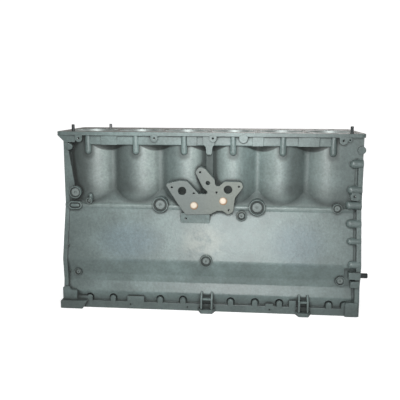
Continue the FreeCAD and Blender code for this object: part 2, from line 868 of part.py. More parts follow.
def rail_foot(x0, x1):
    plan = [
        (x0, rail_edge_y + 6.0, 0.0),
        (x0, rail_edge_y, 0.0),
        (x0 + foot_slope, foot_y, 3.0),
        (x1 - foot_slope, foot_y, 3.0),
        (x1, rail_edge_y, 0.0),
        (x1, rail_edge_y + 6.0, 0.0),
    ]
    parts = [along_z(plan, rail_z, foot_top_z)]
    left = x0 + foot_rib_inset
    right = x1 - foot_rib_inset
    parts.append(foot_wedge(left, left + foot_rib_thick))
    parts.append(foot_wedge(right - foot_rib_thick, right))
    bar_y = foot_rib_low_y + 4.0
    parts.append(box(left, right, bar_y, -130.0, foot_bar_z - foot_bar_thick, foot_bar_z))
    return parts


def rail_holes():
    holes = []
    for x in rail_boss_x[:-1]:
        for y in (rail_near_tap_y, rail_far_tap_y):
            holes.append(rod(rail_tap_r, rail_tap_depth + 1.0, vec(x, y, rail_z - 1.0), z_axis))
    for x, z in rail_side_holes:
        holes.append(rod(rail_side_hole_r, rail_side_hole_depth + 1.0, vec(x, rail_edge_y - 1.0, z), y_axis))
    return holes


def far_side():
    parts = []
    for x in mid_x[1:-1]:
        parts += domed_rod(far_rib_r, vec(x, far_rib_y, far_rib_z1), vec(x, far_rib_y, far_rib_z0))
    x0, x1, z0, z1 = pump_pad
    parts.append(along_y(rect(x0, x1, z0, z1, pump_pad_corner_r), far_wall_y - 4.0, pump_pad_y))
    x0, x1, z0, z1 = breather_pad
    parts.append(along_y(rect(x0, x1, z0, z1, pump_pad_corner_r), far_wall_y - 4.0, breather_pad_y))
    x0, x1, z0, z1 = mount_pad
    parts.append(along_y(rect(x0, x1, z0, z1, pump_pad_corner_r), 136.0, mount_pad_y))
    for x, z in cup_plug_sites.values():
        parts.append(rod(cup_boss_r, cup_boss_y - far_wall_y + 4.0, vec(x, far_wall_y - 4.0, z), y_axis))
    return parts


def pad_corner_taps(pad, face):
    x0, x1, z0, z1 = pad
    holes = []
    for x in (x0 + pump_pad_inset, x1 - pump_pad_inset):
        for z in (z0 + pump_pad_inset, z1 - pump_pad_inset):
            holes.append(rod(far_pad_tap_r, far_pad_tap_depth + 1.0, vec(x, face + 1.0, z), y_axis * -1.0))
    return holes


def far_side_holes():
    holes = pad_corner_taps(pump_pad, pump_pad_y)
    holes += pad_corner_taps(breather_pad, breather_pad_y)
    holes += pad_corner_taps(mount_pad, mount_pad_y)
    centre_x = (pump_pad[0] + pump_pad[1]) / 2.0
    centre_z = (pump_pad[2] + pump_pad[3]) / 2.0
    holes.append(rod(pump_pad_port_r, 40.0, vec(centre_x, pump_pad_y + 1.0, centre_z), y_axis * -1.0))
    for x, z in cup_plug_sites.values():
        seat = cup_plug_r + press_clearance
        holes.append(rod(seat, cup_boss_y - rod_chest_y1 + 2.0, vec(x, cup_boss_y + 1.0, z), y_axis * -1.0))
    return holes


def head_bolt_sites():
    sites = []
    for x in cylinder_x:
        sites += [(x, head_bolt_near_y), (x, head_bolt_far_y)]
    for x in mid_x[1:-1]:
        sites += [(x, head_bolt_mid_y), (x, -head_bolt_mid_y)]
    for x in (mid_x[0] + 2.0 * head_bolt_r, mid_x[-1] - head_bolt_r):
        sites += [(x, head_bolt_mid_y), (x, -head_bolt_mid_y)]
    return sites


def cylinder_cuts():
    cuts = []
    land_z = deck_z - counterbore_depth
    for x in cylinder_x:
        cuts.append(rod(counterbore_r, counterbore_depth + 1.0, vec(x, 0.0, land_z), z_axis))
        cuts.append(rod(upper_land_r, land_z - jacket_top_z + 1.0, vec(x, 0.0, jacket_top_z - 0.5), z_axis))
        cuts.append(rod(lower_seat_r, jacket_floor_z - bay_roof_z + 20.0, vec(x, 0.0, bay_roof_z - 10.0), z_axis))
    return cuts


def jacket_core():
    height = jacket_top_z - jacket_floor_z
    pots = [rod(jacket_core_r, height, vec(x, 0.0, jacket_floor_z), z_axis) for x in cylinder_x]
    core = pots[0].fuse(pots[1:])
    reach = jacket_core_r + 1.0
    inner = box(front_x + jacket_end_wall, rear_x - jacket_end_wall, -reach, reach, jacket_floor_z, jacket_top_z)
    core = core.common(inner)
    columns = []
    for x, y in head_bolt_sites():
        columns.append(rod(head_column_r, height + 2.0, vec(x, y, jacket_floor_z - 1.0), z_axis))
    return core.cut(columns)


def deck_holes():
    holes = []
    for x, y in head_bolt_sites():
        holes.append(rod(head_bolt_r, head_bolt_depth + 1.0, vec(x, y, deck_z + 1.0), z_axis * -1.0))
    for x in cylinder_x:
        for angle in water_port_angles:
            px = x + water_port_radius * math.cos(math.radians(angle))
            py = water_port_radius * math.sin(math.radians(angle))
            if px < front_x + jacket_end_wall or px > rear_x - jacket_end_wall:
                continue
            holes.append(rod(water_port_r, deck_z - jacket_top_z + 4.0, vec(px, py, deck_z + 1.0), z_axis * -1.0))
        for side in (-follower_offset, follower_offset):
            spot = vec(x + side, cam_y + 12.0, deck_z + 1.0)
            holes.append(rod(rod_hole_r, deck_z - rod_chest_top_z + 4.0, spot, z_axis * -1.0))
    for x, y, proud in deck_pins.values():
        seat = deck_pin_r + press_clearance
        holes.append(rod(seat, deck_pin_hole_depth + 1.5, vec(x, y, deck_z + 1.0), z_axis * -1.0))
    return holes


def bay_limits():
    limits = []
    for k in range(cylinder_count):
        x0 = mid_x[k] + bulkhead_thick / 2.0
        x1 = mid_x[k + 1] - bulkhead_thick / 2.0
        if k == 0:
            x0 = front_x + front_wall_thick
        if k == cylinder_count - 1:
            x1 = rear_x - rear_wall_thick
        limits.append((x0, x1))
    return limits


def crankcase_cuts():
    cuts = []
    for x0, x1 in bay_limits():
        cuts.append(along_x(bay_section, x0, x1))
    length = rear_x - front_x + 2.0
    cuts.append(rod(main_bore_r, length, vec(front_x - 1.0, 0.0, 0.0), x_axis))
    half = cap_half_width + cap_clearance
    cuts.append(box(front_x - 1.0, rear_x + 1.0, -half, half, -register_depth - 1.0, 0.0))
    wide = cap_half_width + register_relief
    slot = [
        (-wide, rail_z - 1.0, 0.0),
        (wide, rail_z - 1.0, 0.0),
        (wide, -register_depth, 4.0),
        (-wide, -register_depth, 4.0),
    ]
    cuts.append(along_x(slot, front_x - 1.0, rear_x + 1.0))
    for x in main_centres():
        for y in (-cap_bolt_y, cap_bolt_y):
            cuts.append(rod(cap_bolt_r + thread_clearance, cap_bolt_engage + 4.0, vec(x, y, -1.0), z_axis))
    return cuts


def main_centres():
    centres = list(mid_x)
    centres[0] = front_x + front_wall_thick / 2.0
    centres[-1] = rear_x - rear_wall_thick / 2.0
    return centres


def cam_cuts():
    cuts = []
    length = rear_x - front_x + 2.0
    cuts.append(rod(cam_bore_r, length, vec(front_x - 1.0, cam_y, cam_z), x_axis))
    for x0, x1 in bay_limits():
        chest = [
            (chest_y0, chest_z0, chest_corner_r),
            (chest_y1, chest_z0, chest_corner_r),
            (chest_y1, chest_z1, chest_corner_r),
            (chest_y0, chest_z1, chest_corner_r),
        ]
        cuts.append(along_x(chest, x0, x1))
        drain = vec((x0 + x1) / 2.0, cam_y, chest_z0 - drain_depth)
        cuts.append(rod(drain_r, drain_depth + 2.0, drain, z_axis))
    for x in cylinder_x:
        for side in (-follower_offset, follower_offset):
            spot = vec(x + side, cam_y + 12.0, chest_z1 - 4.0)
            cuts.append(rod(follower_r, follower_boss_z1 - chest_z1 + 10.0, spot, z_axis))
    x0 = front_x + rod_chest_end_gap
    x1 = rear_x - rod_chest_end_gap
    upper = [
        (rod_chest_y0, follower_boss_z1, 8.0),
        (rod_chest_y1, follower_boss_z1, 8.0),
        (rod_chest_y1, rod_chest_top_z, 8.0),
        (rod_chest_y0, rod_chest_top_z, 8.0),
    ]
    cuts.append(along_x(upper, x0, x1))
    return cuts


def engine_block():
    lower = along_x(near_section + far_section, front_x, rear_x)
    lower = lower.cut(rail_scoops() + [pin_block_pocket()])
    shell = lower.fuse(jacket_wall()).cut(rear_gutter())
    solids = upper_panel() + deck_plate() + end_plates()
    solids += head_ribs() + lugs() + cooler_pad() + plug_bosses()
    solids += rear_flange_bosses() + corner_details() + rail_bosses() + rail_details()
    for x0, x1 in rail_feet:
        solids += rail_foot(x0, x1)
    solids += far_side()
    body = shell.fuse(solids)
    body = body.cut(crankcase_cuts())
    body = body.cut(cam_cuts() + [jacket_core()])
    body = body.cut(cylinder_cuts() + deck_holes())
    holes = lug_holes() + cooler_pad_holes() + plug_holes() + rear_holes() + front_holes()
    holes += gallery_holes() + rail_holes() + far_side_holes()
    body = body.cut(holes)
    return body.removeSplitter()


def main_cap(x):
    shape = [
        (-cap_half_width, 0.0, 0.0),
        (cap_half_width, 0.0, 0.0),
        (cap_half_width, cap_shoulder_z, cap_corner_r),
        (cap_shoulder_y, cap_shoulder_z, cap_inner_r),
        (cap_shoulder_y - 12.0, -cap_height, cap_corner_r),
        (-cap_shoulder_y + 12.0, -cap_height, cap_corner_r),
        (-cap_shoulder_y, cap_shoulder_z, cap_inner_r),
        (-cap_half_width, cap_shoulder_z, cap_corner_r),
    ]
    cap = along_x(shape, x - cap_thick / 2.0, x + cap_thick / 2.0)
    cuts = [rod(main_bore_r, cap_thick + 2.0, vec(x - cap_thick / 2.0 - 1.0, 0.0, 0.0), x_axis)]
    for y in (-cap_bolt_y, cap_bolt_y):
        cuts.append(rod(cap_bolt_r + bolt_clearance, cap_height + 2.0, vec(x, y, -cap_height - 1.0), z_axis))
    return cap.cut(cuts)


def cap_bolt(x, y):
    seat = cap_shoulder_z
    head = hexagon(vec(x, y, seat), z_axis * -1.0, cap_bolt_head_r * math.sqrt(3.0), cap_bolt_head_h, x_axis)
    shank = rod(cap_bolt_r, cap_bolt_engage - seat, vec(x, y, seat), z_axis)
    return shank.fuse(head)


def cap_bolts():
    bolts = []
    for x in main_centres():
        for y in (-cap_bolt_y, cap_bolt_y):
            bolts.append(cap_bolt(x, y))
    return Part.makeCompound(bolts)


def cam_bushing(x):
    start = vec(x - cam_bush_length / 2.0, cam_y, cam_z)
    ring = rod(cam_bore_r - press_clearance, cam_bush_length, start, x_axis)
    return ring.cut(rod(cam_bush_inner_r, cam_bush_length + 2.0, start - x_axis, x_axis))


def cup_plug(start, inward):
    # pressed cup, open towards the outside
    shell = rod(cup_plug_r, cup_plug_depth, start, inward)
    return shell.cut(rod(cup_plug_r - cup_plug_wall, cup_plug_depth - cup_plug_wall + 1.0, start - inward, inward))


def pad_plug(x, z):
    start = vec(x, pad_face_y + 0.6, z)
    disc = rod(pad_plug_r, pad_plug_depth - 0.6, start, y_axis)
    dish_r = pad_plug_r - 3.0
    return disc.cut(rod(dish_r, pad_plug_dish + 1.0, start - y_axis, y_axis))


def pin(radius, start, axis, length):
    body = rod(radius, length, start, axis)
    tip = start + axis * length
    rims = [edge for edge in body.Edges if edge.CenterOfMass.distanceToPoint(tip) < 0.5]
    return body.makeChamfer(1.0, rims)


def hex_plug(start, axis, radius, depth):
    body = rod(radius, depth, start, axis)
    return body.cut(hexagon(start - axis, axis, radius, depth * 0.6, z_axis))


def all_parts():
    parts = {"engine_block": engine_block()}
    for k, x in enumerate(main_centres()):
        parts["main_cap_%d" % (k + 1)] = main_cap(x)
    parts["main_cap_bolts"] = cap_bolts()
    for k, x in enumerate(main_centres()):
        parts["cam_bushing_%d" % (k + 1)] = cam_bushing(x)
    for name, values in side_plugs.items():
        parts[name] = side_plug(values)
    for name, (x, z) in pad_plug_sites.items():
        parts[name] = pad_plug(x, z)
    for name, (x, y, proud) in deck_pins.items():
        start = vec(x, y, deck_z - deck_pin_hole_depth)
        parts[name] = pin(deck_pin_r, start, z_axis, deck_pin_hole_depth + proud)
    for name, (y, z) in rear_pins.items():
        start = vec(rear_x - rear_pin_depth, y, z)
        parts[name] = pin(rear_pin_r, start, x_axis, rear_pin_depth + rear_pin_proud)
    for name, (y, z) in front_pins.items():
        start = vec(front_x + front_pin_depth, y, z)
        parts[name] = pin(front_pin_r, start, x_axis * -1.0, front_pin_depth + front_pin_proud)
    for name, (x, z) in cup_plug_sites.items():
        parts[name] = cup_plug(vec(x, cup_boss_y - cup_plug_sink, z), y_axis * -1.0)
    cam_disc_r = cam_bore_r - press_clearance
    cam_start = vec(rear_x - cam_plug_sink, cam_y, cam_z)
    cam_disc = rod(cam_disc_r, cam_plug_thick, cam_start, x_axis * -1.0)
    parts["cam_rear_plug"] = cam_disc
    front_seat = vec(front_x + 0.5, gallery_y, gallery_z)
    rear_seat = vec(rear_x - 0.5, gallery_y, gallery_z)
    parts["gallery_end_plug_front"] = hex_plug(front_seat, x_axis, gallery_plug_r, gallery_plug_depth - 0.5)
    parts["gallery_end_plug_rear"] = hex_plug(rear_seat, x_axis * -1.0, gallery_plug_r, gallery_plug_depth - 0.5)
    return parts


os.makedirs("parts", exist_ok=True)
for part_name, part_shape in all_parts().items():
    part_shape.exportStep("parts/%s.step" % part_name)
    print(part_name, part_shape.isValid(), len(part_shape.Solids), round(part_shape.Volume / 1000.0, 1))
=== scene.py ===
import json
import math
import bmesh
import bpy
from mathutils import Euler, Matrix, Vector


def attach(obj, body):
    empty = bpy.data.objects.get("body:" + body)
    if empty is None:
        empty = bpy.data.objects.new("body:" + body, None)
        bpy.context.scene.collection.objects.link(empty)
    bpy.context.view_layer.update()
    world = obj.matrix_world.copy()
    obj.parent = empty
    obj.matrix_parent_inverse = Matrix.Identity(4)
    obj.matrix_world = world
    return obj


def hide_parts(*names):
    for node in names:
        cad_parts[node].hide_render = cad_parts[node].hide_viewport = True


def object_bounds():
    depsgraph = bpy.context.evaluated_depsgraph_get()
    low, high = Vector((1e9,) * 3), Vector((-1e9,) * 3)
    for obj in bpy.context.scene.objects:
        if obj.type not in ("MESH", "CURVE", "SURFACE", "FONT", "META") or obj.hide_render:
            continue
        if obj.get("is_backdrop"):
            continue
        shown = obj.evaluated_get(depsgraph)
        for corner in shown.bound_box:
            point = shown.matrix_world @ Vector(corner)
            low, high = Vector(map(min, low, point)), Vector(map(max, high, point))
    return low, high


# Six-cylinder block: metres, X along the crank, Z up, cylinder 1 at the low X end
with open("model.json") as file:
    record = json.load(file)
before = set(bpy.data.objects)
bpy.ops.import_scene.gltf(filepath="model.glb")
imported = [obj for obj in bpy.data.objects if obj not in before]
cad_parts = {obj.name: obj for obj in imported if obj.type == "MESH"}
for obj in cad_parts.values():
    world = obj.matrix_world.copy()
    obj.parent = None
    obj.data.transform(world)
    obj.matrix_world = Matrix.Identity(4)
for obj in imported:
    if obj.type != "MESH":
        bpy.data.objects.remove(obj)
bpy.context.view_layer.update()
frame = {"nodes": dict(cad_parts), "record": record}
cadNodes = frame["nodes"]
print("stage: frame loaded,", len(cadNodes), "nodes")


class Wire:
    # one socket of a node tree; sums, products and powers of wires add Math nodes

    def __init__(self, tree, socket=None):
        self.tree = tree
        self.socket = socket

    def make(self, kind, settings=None, sockets=None, out=0):
        # settings go on the node first, then values or wires on its sockets
        node = self.tree.nodes.new(kind)
        for name, value in (settings or {}).items():
            setattr(node, name, value)
        for key, value in (sockets or {}).items():
            if isinstance(value, Wire):
                self.tree.links.new(value.socket, node.inputs[key])
            else:
                node.inputs[key].default_value = value
        return Wire(self.tree, node.outputs[out] if node.outputs else None)

    def maths(self, operation, *terms):
        return self.make("ShaderNodeMath", {"operation": operation}, dict(enumerate(terms)))

    def __add__(self, other):
        return self.maths("ADD", self, other)

    def __radd__(self, other):
        return self.maths("ADD", other, self)

    def __sub__(self, other):
        return self.maths("SUBTRACT", self, other)

    def __rsub__(self, other):
        return self.maths("SUBTRACT", other, self)

    def __mul__(self, other):
        return self.maths("MULTIPLY", self, other)

    def __rmul__(self, other):
        return self.maths("MULTIPLY", other, self)

    def __truediv__(self, other):
        return self.maths("DIVIDE", self, other)

    def __pow__(self, other):
        return self.maths("POWER", self, other)

    def __neg__(self):
        return self.maths("MULTIPLY", self, -1.0)

    def __abs__(self):
        return self.maths("ABSOLUTE", self)

    def atLeast(self, other):
        return self.maths("MAXIMUM", self, other)

    def atMost(self, other):
        return self.maths("MINIMUM", self, other)

    def fold(self, half):
        # distance to the nearest whole number of pitches, for half a pitch
        return self.maths("PINGPONG", self, half)

    def wrap(self):
        return self.maths("FRACT", self)

    def rise(self, low, high):
        # 0 below low, 1 above high, smooth between
        settings = {"interpolation_type": "SMOOTHSTEP", "clamp": True}
        return self.make("ShaderNodeMapRange", settings, {0: self, 1: low, 2: high, 3: 0.0, 4: 1.0})

    def fall(self, low, high):
        return 1.0 - self.rise(low, high)

    def between(self, low, high, soft):
        return self.rise(low - soft, low) * self.fall(high, high + soft)

    def blend(self, first, second):
        # self is the share of the second colour
        settings = {"data_type": "RGBA", "clamp_factor": True}
        return self.make("ShaderNodeMix", settings, {0: self, 6: first, 7: second}, 2)

    def shade(self, colour):
        # the colour times self
        settings = {"data_type": "RGBA", "blend_type": "MULTIPLY", "clamp_factor": True}
        return self.make("ShaderNodeMix", settings, {0: 1.0, 6: colour, 7: self}, 2)


class Surface:
    # a new material, its object coordinates in millimetres and its normal

    def __init__(self, name):
        self.material = bpy.data.materials.new(name)
        self.material.use_nodes = True
        tree = self.material.node_tree
        tree.nodes.clear()
        self.start = Wire(tree)
        metres = self.start.make("ShaderNodeTexCoord", out=3)
        normal = self.start.make("ShaderNodeTexCoord", out=1)
        self.place = self.start.make("ShaderNodeVectorMath", {"operation": "SCALE"}, {0: metres, 3: 1000.0})
        self.x, self.y, self.z = self.parts(self.place)
        self.nx, self.ny, self.nz = self.parts(normal)

    def parts(self, vector):
        return [self.start.make("ShaderNodeSeparateXYZ", None, {0: vector}, k) for k in range(3)]

    def noise(self, size, detail=2.0, rough=0.55, shift=0.0):
        # size is the width of one blob in millimetres
        offset = (shift, shift * 1.7, shift * 0.6)
        moved = self.start.make("ShaderNodeMapping", None, {0: self.place, 1: offset, 3: (1.0 / size,) * 3})
        return self.start.make("ShaderNodeTexNoise", None, {0: moved, 2: 1.0, 3: detail, 4: rough})

    def patch(self, x, z, halfWide, halfHigh):
        # soft ellipse seen along Y, 1 in its middle
        across, upright = (self.x - x) / halfWide, (self.z - z) / halfHigh
        return ((across * across + upright * upright) ** 0.5).fall(0.25, 1.0)

    def closed(self, reach, inside=False):
        # 1 in a corner, 0 where nothing stands within reach; inside finds outer edges
        settings = {"samples": 8, "only_local": True, "inside": inside}
        return 1.0 - self.start.make("ShaderNodeAmbientOcclusion", settings, {1: reach}, 1)

    def bump(self, height, depth, strength=1.0, under=None):
        sockets = {"Strength": strength, "Distance": depth / 1000.0, "Height": height}
        if under is not None:
            sockets["Normal"] = under
        return self.start.make("ShaderNodeBump", None, sockets)

    def finish(self, sockets):
        shader = self.start.make("ShaderNodeBsdfPrincipled", None, sockets)
        self.start.make("ShaderNodeOutputMaterial", None, {0: shader})
        return self.material


def linear(red, green, blue):
    # screen colour 0..255 to a scene colour
    def one(level):
        level = level / 255.0
        return level / 12.92 if level <= 0.04045 else ((level + 0.055) / 1.055) ** 2.4
    return (one(red), one(green), one(blue), 1.0)


# Sizes of the block that its finish follows, in millimetres
block = {
    "deckZ": 387.0,
    "railZ": -150.0,
    "frontX": -440.0,
    "rearX": 452.0,
    "pitch": 146.0,
    "boreR": 69.0,
    "boreFootZ": 180.0,
    "boreEndX": 436.0,
    "crankR": 48.2,
    "bulgeR": 100.0,
    "padY": -121.0,
    "padX": (-131.0, 110.0),
    "padZ": (138.0, 300.0),
    "panelTopZ": 374.0,
    "panelFootZ": 348.0,
    "columnFootZ": 322.0,
    "rampFootY": -103.0,
    "rampFootZ": 170.0,
    "rampSlope": 1.372,
}

# Cast iron in thin grey-green paint, bare on the machined faces; some tones below are painted highlights, painted
# shade and painted shadows
paintWork = {
    "light": (116, 133, 131),
    "dark": (97, 112, 110),
    "bluePatch": (100, 120, 126),
    # painted highlight: the pale patch on the middle of the crankcase
    "paintedHotSpot": (150, 156, 148),
    # painted shade tone of the flanks, the ends and the rail
    "paintedShade": (60, 68, 66),
    # painted highlight tone of the bulge crowns
    "crownHighlight": (162, 174, 170),
    # dark tone of the painted shade and painted shadows
    "paintedDeepShade": (40, 45, 43),
    # pale edges: wear, and a painted highlight
    "edge": (150, 160, 154),
    "machined": (98, 100, 95),
    "deckBrown": (80, 74, 66),
    "boreSteel": (168, 176, 174),
    "padGrey": (106, 115, 112),
    "padWarm": (116, 123, 116),
    "bluePlaces": [(-240.0, 60.0, 130.0, 80.0), (270.0, 60.0, 110.0, 90.0)],  # x, z, half width, half height
    "hotSpotPlace": (-8.0, 62.0, 95.0, 75.0),
    "blueShare": 0.7,
    "hotSpotShare": 0.55,
    "paintedShadeShare": 0.85,
    "endsShadeShare": 0.4,
    "railShare": 0.5,
    "edgeShare": 0.3,
    "creviceShadeShare": 0.9,
    "hollowShadeShare": 0.2,
    "roughness": 0.43,
    "bareRoughness": 0.5,
    "gloss": 0.75,
    "crevice": 0.017,  # reach in metres
    "hollow": 0.06,
    "edgeReach": 0.0022,
    "rounding": 0.0014,
    "grit": 1.3,
    "gritDepth": 0.2,
    "lump": 8.0,
    "lumpDepth": 0.7,
}

# Painted highlight and painted shade on the near jacket wall, and painted shadows under the panel and round the
# columns
wallWork = {
    "halves": 110.0,  # the wall's front and rear halves change over within this of the middle
    "flankShift": 31.0,
    "flankOffset": 6.0,
    "lessShadedFlanks": [((125.0, 270.0, 120.0, 600.0), 0.85), ((-121.0, 270.0, 80.0, 600.0), 0.3)],
    "crownHighlightShare": 0.45,
    "crownHighlightChange": 0.15,
    "ledgeHighlightShare": 0.35,
    "flankShadeShare": 0.85,
    "leftEndShadeShare": 0.5,
    "lowWallShadeShare": 0.45,
    "valleyShadeShare": 0.3,
    "shadowShift": 13.0,
    "shadowHalfWide": 48.0,
    "shadowHeight": 18.0,
    "panelShadow": 0.8,
    "rampColumnShade": 0.55,
    "ring": 0.85,
}

# Plugs with a ring of painted shade on the near side: x, z, reach of the ring, boss face
ringedPlugs = [
    (-144.0, 170.0, 22.0, -120.0),
    (147.0, 167.0, 22.5, -120.0),
    (101.0, 141.0, 13.5, -120.5),
    (382.0, 168.0, 13.5, -119.0),
    (-2.0, 7.0, 17.0, -152.5),
    (-406.0, 203.5, 17.0, -117.0),
    (396.0, -45.0, 12.5, -145.0),
    (-397.0, -40.0, 9.5, -143.5),
]


def machinedFaces(s, boreR):
    # bare faces, told by their place and facing
    b = block
    up, down, nearWay = s.nz.rise(0.9, 0.97), (-s.nz).rise(0.9, 0.97), (-s.ny).rise(0.96, 0.99)
    deck = up * s.z.rise(b["deckZ"] - 0.8, b["deckZ"] - 0.3)
    foot = down * s.z.fall(b["railZ"] + 0.4, b["railZ"] + 0.8)
    outmost = s.x.rise(b["rearX"] - 0.6, b["rearX"] - 0.2) + s.x.fall(b["frontX"] + 0.2, b["frontX"] + 0.6)
    ends = abs(s.nx).rise(0.95, 0.99) * outmost.atMost(1.0)
    pad = nearWay * s.y.between(b["padY"] - 0.4, b["padY"] + 0.4, 0.3)
    pad = pad * s.z.between(*b["padZ"], 0.5) * s.x.between(*b["padX"], 0.5)
    crank = ((s.y * s.y + s.z * s.z) ** 0.5).fall(b["crankR"], b["crankR"] + 0.6)
    bore = boreR.fall(b["boreR"], b["boreR"] + 0.6) * s.z.rise(b["boreFootZ"], b["boreFootZ"] + 1.0)
    bore = bore * abs(s.x).fall(b["boreEndX"], b["boreEndX"] + 1.0)
    bare = (deck + foot + ends + bore + crank).atMost(1.0)
    return deck, bore, pad, bare


def flankLightAndShade(s, near, wall, side, besideBores):
    # painted highlight on the crown of each bulge and painted shade towards the valleys, at the left end and on the
    # lower wall
    w = wallWork
    onWall = s.y.rise(-103.0, -101.0)
    phase = ((s.x + side * w["flankShift"] + w["flankOffset"]) / block["pitch"]).wrap()
    crownHighlight = phase.rise(0.05, 0.6) * phase.fall(0.66, 1.0) * onWall
    shadeRelief = 0.0
    for place, share in w["lessShadedFlanks"]:
        shadeRelief = shadeRelief + s.patch(*place) * share
    # painted shade on the flank at the left end
    leftEndShade = s.x.fall(-402.0, -320.0) * onWall * w["leftEndShadeShare"]
    paintedShade = (onWall - crownHighlight) * (1.0 - shadeRelief) * s.x.fall(345.0, 365.0) + leftEndShade
    # painted shade on the lower wall over the ramp
    foot = s.z.rise(160.0, 170.0) * s.z.fall(200.0, 250.0) * s.y.rise(-106.0, -104.0) * near
    # painted shade beside the valleys, stronger towards cylinder 1
    valleyShade = besideBores * onWall * (0.5 - side * 0.5)
    paintedShade = wall * paintedShade * w["flankShadeShare"] + foot * w["lowWallShadeShare"] + valleyShade * w["valleyShadeShare"]
    return crownHighlight * wall, paintedShade.atMost(1.0)


def paintedShadows(s, near, side, boreX, boreR):
    # painted shadow under the panel, painted shade over the ramp and round the head bolt columns
    b, w = block, wallWork
    fromValley = (s.x - side * w["shadowShift"]).fold(b["pitch"] / 2.0) / w["shadowHalfWide"]
    drop = (1.0 - fromValley * fromValley).atLeast(0.0) * w["shadowHeight"]
    # painted shadow of the panel's lip, deepest in each valley
    panelShadow = (s.z + drop).rise(b["panelFootZ"] - 2.0, b["panelFootZ"] + 2.5)
    panelShadow = panelShadow * s.z.fall(b["panelFootZ"] - 0.4, b["panelFootZ"] + 0.2)
    panelShadow = panelShadow * s.y.rise(-99.9, -99.4) * near * abs(s.x).fall(345.0, 352.0)
    overRamp = s.z - (s.y - b["rampFootY"]) * b["rampSlope"] - b["rampFootZ"]
    offBulge = boreR - b["bulgeR"]
    seam = abs(overRamp).fall(5.0, 18.0) * abs(offBulge).fall(5.0, 16.0) * near
    # painted shade over the ramp and round the column feet
    runOut = overRamp.fall(-2.0, 24.0) * offBulge.fall(-2.0, 16.0) * s.z.rise(168.0, 174.0) * s.z.fall(188.0, 212.0)
    below = (b["columnFootZ"] - s.z).atLeast(0.0)
    halo = ((boreX * boreX + below * below) ** 0.5).fall(10.0, 24.0) * s.y.rise(-102.2, -100.6)
    halo = halo * s.z.fall(b["panelTopZ"], b["panelTopZ"] + 3.0)
    rampColumnShade = ((runOut + halo) * near * abs(s.x).fall(418.0, 424.0)).atMost(1.0)
    return seam, panelShadow * w["panelShadow"] + rampColumnShade * w["rampColumnShade"]


def plugRingShade(s, near):
    rings = 0.0
    for x, z, reach, faceY in ringedPlugs:
        gap = ((s.x - x) * (s.x - x) + (s.z - z) * (s.z - z)) ** 0.5
        rings = rings + gap.fall(reach - 1.5, reach - 0.3) * s.y.fall(faceY + 2.0, faceY + 3.0)
    return rings.atMost(1.0) * near


